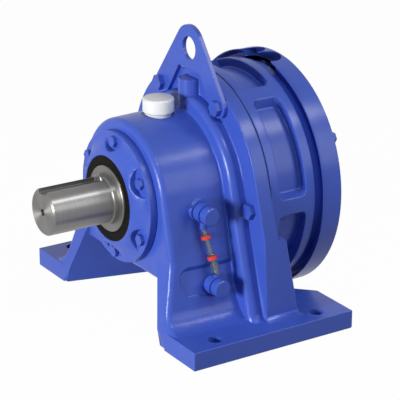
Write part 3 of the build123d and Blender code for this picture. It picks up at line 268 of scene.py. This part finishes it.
# Inside the shell: bearings, pins, rollers, the lobed discs and the crank that drives them.
# All are hardened bearing steel, ground bright and wet with oil, with faint clouds of 3 mm.
bearing_steel = new_finish("hardened_bearing_steel")
place = add_node(bearing_steel, "ShaderNodeTexCoord")
grind = add_node(bearing_steel, "ShaderNodeTexNoise", {"Scale": 1 / 0.003, "Detail": 3.0},
                 {"Vector": (place, "Object")})
tone = add_node(bearing_steel, "ShaderNodeMixRGB",
                {"Color1": colour("#a3a3a2"), "Color2": colour("#bdbdbb")},
                {"Fac": (grind, "Fac")})
steel = add_node(bearing_steel, "ShaderNodeBsdfPrincipled",
                 {"Metallic": 1.0, "Roughness": 0.24}, {"Base Color": (tone, "Color")})
to_surface(bearing_steel, steel)
for part in frame["record"]["subparts"]:
    if part["material_slot"] == "bearing_steel":
        wear(frame["nodes"][part["node"]], bearing_steel)

# The ring gear housing is an iron ring with six cast pockets in its rim, clamped between the
# casing and the motor flange. Painted with the rest.
ring_housing = from_cad("ring_gear_housing", "ring_casting")
round_edges(ring_housing, width=0.0012)
wear(ring_housing, enamel)
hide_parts("ring_gear_housing")
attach(ring_housing, "housing")

# The motor flange: iron, turned, with a deep groove behind its lip. Six long bolts pull it,
# the ring and the casing together, and screws sit round its rear face.
SHAFT_Z = 0.160
LIP_FRONT_Y = 0.1000
LIP_SETBACK = 0.0025
LIP_INNER_R = (0.1500, 0.1525)
LIP_OPENING = 1.0305


def from_axis(point):
    return math.hypot(point.x, point.z - SHAFT_Z)


flange = from_cad("motor_flange", "motor_adapter")
# The lip is set back and turned to a narrow edge in front, so that its groove shows as black
pick_points(flange, lambda point: from_axis(point) > LIP_INNER_R[0] and point.y < LIP_FRONT_Y)
bpy.ops.transform.translate(value=(0.0, LIP_SETBACK, 0.0))
bpy.ops.object.mode_set(mode="OBJECT")
pick_points(flange, lambda point: LIP_INNER_R[0] < from_axis(point) < LIP_INNER_R[1]
            and point.y < LIP_FRONT_Y)
bpy.ops.transform.resize(value=(LIP_OPENING, 1.0, LIP_OPENING),
                         center_override=(0.0, 0.0993, SHAFT_Z))
bpy.ops.object.mode_set(mode="OBJECT")
# The two notches open into a cored pocket under the lip: a slice of a disc, 70 mm wide
deselect()
bpy.ops.mesh.primitive_cylinder_add(vertices=128, radius=0.1545, depth=0.0285,
                                    location=(0.0, 0.11195, SHAFT_Z), rotation=(math.pi / 2, 0, 0))
pocket = bpy.context.object
deselect()
bpy.ops.mesh.primitive_cube_add(size=1, location=(0.0, 0.1118, 0.3115),
                                scale=(0.070, 0.040, 0.020))
sector = bpy.context.object
cut = pocket.modifiers.new("sector", "BOOLEAN")
cut.object = sector
cut.operation = "INTERSECT"
take_on(pocket)
bpy.ops.object.modifier_apply(modifier="sector")
bpy.data.objects.remove(sector)
cut = flange.modifiers.new("pocket", "BOOLEAN")
cut.object = pocket
cut.operation = "DIFFERENCE"
take_on(flange)
bpy.ops.object.modifier_apply(modifier="pocket")
bpy.data.objects.remove(pocket)
round_edges(flange, width=0.0009, longer_than=0.0015, leave=lambda point: point.y < LIP_FRONT_Y)
wear(flange, enamel)
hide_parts("motor_flange")
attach(flange, "housing")
for node in ("flange_bolts", "rim_screws"):
    wear(frame["nodes"][node], enamel)

# The lifting plate is cut from 6 mm steel plate, drilled for the hook, and held under the heads
# of two of the flange bolts. Its edges are only broken, and it is painted with the rest.
plate = from_cad("lifting_plate", "lifting_tab")
round_edges(plate, width=0.0006)
wear(plate, enamel)
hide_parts("lifting_plate")
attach(plate, "housing")

# The breather is moulded in off-white nylon: a screwed plug and a push-on cap.
# Satin, with the light sinking a little into it, and the faint clouds of the moulding's flow.
nylon = new_finish("moulded_offwhite_nylon")
place = add_node(nylon, "ShaderNodeTexCoord")
flow = add_node(nylon, "ShaderNodeTexNoise", {"Scale": 1 / 0.008, "Detail": 2.0},
                {"Vector": (place, "Object")})
tone = add_node(nylon, "ShaderNodeMixRGB",
                {"Color1": colour("#dadbd8"), "Color2": colour("#e6e7e4")},
                {"Fac": (flow, "Fac")})
plastic = add_node(nylon, "ShaderNodeBsdfPrincipled",
                   {"Roughness": 0.42, "IOR": 1.53, "Subsurface Weight": 0.05},
                   {"Base Color": (tone, "Color")})
to_surface(nylon, plastic)
for node in ("breather_plug", "breather_cap"):
    wear(frame["nodes"][node], nylon)

# The oil gauge: two fittings on hollow bolts, with washers, all painted with the unit, and
# a clear tube between them with red rings that mark the highest and lowest oil level.
for node in ("gauge_upper_eye", "gauge_lower_eye", "gauge_bolts", "gauge_washers"):
    wear(frame["nodes"][node], enamel)

# Drawn acrylic: clear and faintly green, with a slight haze in patches of 4 mm.
clear_tube = new_finish("drawn_acrylic_tube")
place = add_node(clear_tube, "ShaderNodeTexCoord")
haze = add_node(clear_tube, "ShaderNodeTexNoise", {"Scale": 1 / 0.004, "Detail": 2.0},
                {"Vector": (place, "Object")})
tone = add_node(clear_tube, "ShaderNodeMixRGB",
                {"Color1": colour("#c4ccc8"), "Color2": colour("#d6dcd9")},
                {"Fac": (haze, "Fac")})
tube = add_node(clear_tube, "ShaderNodeBsdfPrincipled",
                {"Roughness": 0.05, "IOR": 1.49, "Transmission Weight": 0.95},
                {"Base Color": (tone, "Color")})
to_surface(clear_tube, tube)
for node in ("gauge_tube", "gauge_end_sleeve"):
    wear(frame["nodes"][node], clear_tube)

# Moulded red nylon: an even satin red, a little lighter where the mould filled last.
red_plastic = new_finish("moulded_red_nylon")
place = add_node(red_plastic, "ShaderNodeTexCoord")
flow = add_node(red_plastic, "ShaderNodeTexNoise", {"Scale": 1 / 0.003, "Detail": 2.0},
                {"Vector": (place, "Object")})
tone = add_node(red_plastic, "ShaderNodeMixRGB",
                {"Color1": colour("#c2281c"), "Color2": colour("#d8402f")},
                {"Fac": (flow, "Fac")})
plastic = add_node(red_plastic, "ShaderNodeBsdfPrincipled", {"Roughness": 0.35, "IOR": 1.53},
                   {"Base Color": (tone, "Color")})
to_surface(red_plastic, plastic)
wear(frame["nodes"]["gauge_level_rings"], red_plastic)

# The drain plug under the barrel is zinc-plated steel, screwed up against a copper washer.
# Both were fitted after painting: the plug is light grey with faint clouds of 3 mm.
zinc = new_finish("zinc_plated_steel")
place = add_node(zinc, "ShaderNodeTexCoord")
clouds = add_node(zinc, "ShaderNodeTexNoise", {"Scale": 1 / 0.003, "Detail": 3.0},
                  {"Vector": (place, "Object")})
tone = add_node(zinc, "ShaderNodeMixRGB",
                {"Color1": colour("#a5a69d"), "Color2": colour("#c4c5bc")},
                {"Fac": (clouds, "Fac")})
metal = add_node(zinc, "ShaderNodeBsdfPrincipled", {"Metallic": 1.0, "Roughness": 0.35},
                 {"Base Color": (tone, "Color")})
to_surface(zinc, metal)
wear(frame["nodes"]["drain_plug"], zinc)

# Annealed copper: soft pink metal with brown tarnish in patches of 4 mm.
copper = new_finish("annealed_copper")
place = add_node(copper, "ShaderNodeTexCoord")
tarnish = add_node(copper, "ShaderNodeTexNoise", {"Scale": 1 / 0.004, "Detail": 3.0},
                   {"Vector": (place, "Object")})
tone = add_node(copper, "ShaderNodeMixRGB",
                {"Color1": colour("#8f5a3e"), "Color2": colour("#c0805a")},
                {"Fac": (tarnish, "Fac")})
metal = add_node(copper, "ShaderNodeBsdfPrincipled", {"Metallic": 1.0, "Roughness": 0.4},
                 {"Base Color": (tone, "Color")})
to_surface(copper, metal)
wear(frame["nodes"]["drain_washer"], copper)

# The studio: a pale floor, a white surround, soft lamps and the camera of the photograph.
# Camera, glossy and transmission rays see white paper; other rays see a matt floor, which
# keeps a twentieth of its share in the picture so that the object's shadow stays on it.
deselect()
bpy.ops.mesh.primitive_plane_add(size=12, location=(0, 0, -0.0002))
floor = bpy.context.object
floor.name = "studio_floor"
floor_white = new_finish("matt_white_floor")
rays = add_node(floor_white, "ShaderNodeLightPath")
matt = add_node(floor_white, "ShaderNodeBsdfDiffuse", {"Color": colour("#9a9a9a")})
paper = add_node(floor_white, "ShaderNodeEmission", {"Color": colour("#ffffff"), "Strength": 1.03})
clear = add_node(floor_white, "ShaderNodeMath", links={0: (rays, "Is Camera Ray"),
                                                       1: (rays, "Is Transmission Ray")},
                 operation="MAXIMUM")
seen = add_node(floor_white, "ShaderNodeMath", links={0: (clear, 0), 1: (rays, "Is Glossy Ray")},
                operation="MAXIMUM")
share = add_node(floor_white, "ShaderNodeMath", {1: 0.95}, {0: (seen, 0)}, operation="MULTIPLY")
mixed = add_node(floor_white, "ShaderNodeMixShader",
                 links={0: (share, 0), 1: (matt, "BSDF"), 2: (paper, "Emission")})
to_surface(floor_white, mixed, "Shader")
wear(floor, floor_white)

world = bpy.data.worlds.new("studio_surround")
bpy.context.scene.world = world
world.use_nodes = True
rays = add_node(world, "ShaderNodeLightPath")
clear = add_node(world, "ShaderNodeMath", links={0: (rays, "Is Camera Ray"),
                                                 1: (rays, "Is Transmission Ray")},
                 operation="MAXIMUM")
white = add_node(world, "ShaderNodeMath", links={0: (clear, 0), 1: (rays, "Is Glossy Ray")},
                 operation="MAXIMUM")
level = add_node(world, "ShaderNodeMapRange", {"To Min": 0.06, "To Max": 1.0},
                 {"Value": (white, 0)})
sky = [n for n in world.node_tree.nodes if n.type == "BACKGROUND"][0]
sky.inputs["Color"].default_value = colour("#ffffff")
world.node_tree.links.new(level.outputs[0], sky.inputs["Strength"])


def lamp(name, place, target, size, watts):
    light = bpy.data.lights.new(name, "AREA")
    light.shape = "RECTANGLE"
    light.size, light.size_y = size
    light.energy = watts
    holder = bpy.data.objects.new(name, light)
    bpy.context.collection.objects.link(holder)
    holder.location = place
    aim = Vector(target) - Vector(place)
    holder.rotation_euler = aim.to_track_quat("-Z", "Y").to_euler()


middle = (0.0, 0.0, SHAFT_Z)
lamp("front_key", (0.30, -1.94, 0.42), middle, (0.45, 0.45), 40)
lamp("overhead_back", (0.95, 1.1, 1.8), middle, (0.5, 0.4), 9.5)
lamp("right_behind", (1.55, 1.0, 0.92), middle, (0.9, 0.9), 9)
lamp("over_the_shaft", (0.83, -0.2, 1.4), (0.0, -0.17, SHAFT_Z), (0.5, 0.15), 6)

# The camera was fitted to the photograph, whose sides are 400 pixels: its focal length and the
# place of its axis are in those pixels
PHOTO_SIDE = 400
FOCAL_LENGTH = 1789.0
AXIS_X, AXIS_Y = 189.34, 180.55
AZIMUTH = math.radians(57.58)
ELEVATION = math.radians(19.99)
DISTANCE = 2.3056
back = Vector((math.sin(AZIMUTH) * math.cos(ELEVATION), -math.cos(AZIMUTH) * math.cos(ELEVATION),
               math.sin(ELEVATION)))
eye = bpy.data.cameras.new("photo_camera")
eye.sensor_width = 36
eye.lens = FOCAL_LENGTH * eye.sensor_width / PHOTO_SIDE
eye.shift_x = (PHOTO_SIDE / 2 - AXIS_X) / PHOTO_SIDE
eye.shift_y = -(PHOTO_SIDE / 2 - AXIS_Y) / PHOTO_SIDE
eye.clip_end = 50
camera = bpy.data.objects.new("photo_camera", eye)
bpy.context.collection.objects.link(camera)
camera.location = Vector(middle) + back * DISTANCE
camera.rotation_euler = (-back).to_track_quat("-Z", "Y").to_euler()
bpy.context.scene.camera = camera
bpy.context.scene.view_settings.view_transform = "Standard"
